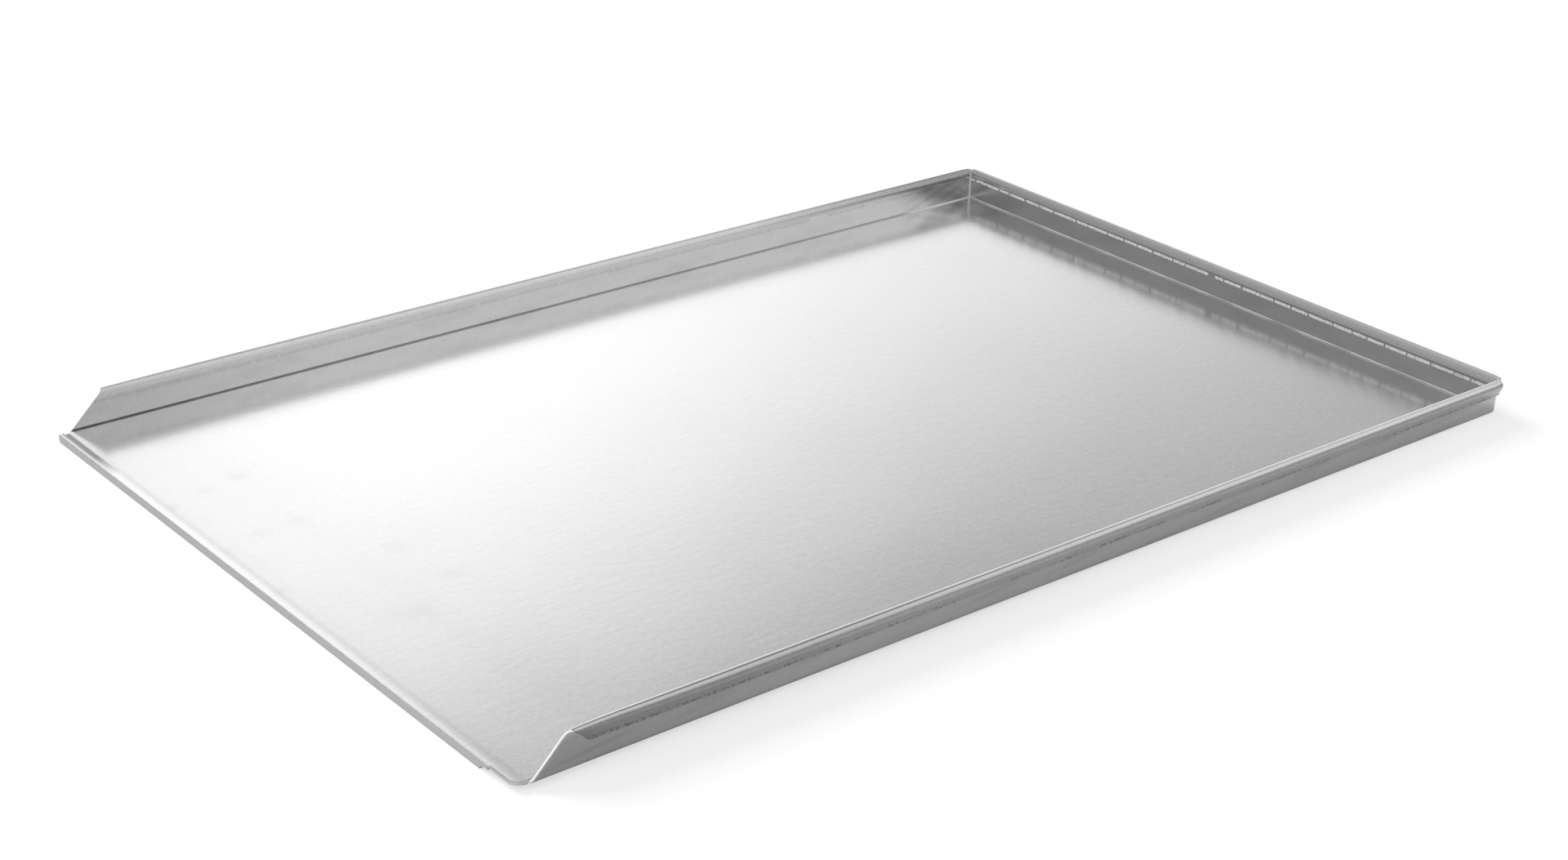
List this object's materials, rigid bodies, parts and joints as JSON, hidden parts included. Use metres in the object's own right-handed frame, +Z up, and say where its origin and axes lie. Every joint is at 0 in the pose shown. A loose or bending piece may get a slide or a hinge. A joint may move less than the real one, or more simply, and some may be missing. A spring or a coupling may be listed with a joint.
{
  "type": "cookie sheet",
  "caption": "Flat aluminium bakery sheet with three low upright sides topped by rolled hems, and one open short side with a small turned-down lip.",
  "frame": {"origin": "under the middle of the sheet's overall length and width, level with the lower edge of the turned-down lip", "axes": "+X along the long sides from the open short side towards the closed end wall, +Y towards the back long wall, +Z up out of the floor"},
  "size_m": [0.6, 0.4, 0.0214],
  "materials": {
    "mill_floor": "satin mill finish",
    "mill_wall": "satin mill finish",
    "rolled_hem": "satin mill finish, rubbed by the folding tool",
    "corner_weld": "dressed weld"
  },
  "bodies": {
    "root": {"floor_sheet": "mill_floor", "open_edge_lip": "mill_floor", "front_wall": "mill_wall", "back_wall": "mill_wall", "end_wall": "mill_wall", "front_rim": "rolled_hem", "back_rim": "rolled_hem", "end_rim": "rolled_hem", "front_corner_weld": "corner_weld", "back_corner_weld": "corner_weld"}
  },
  "joints": []
}
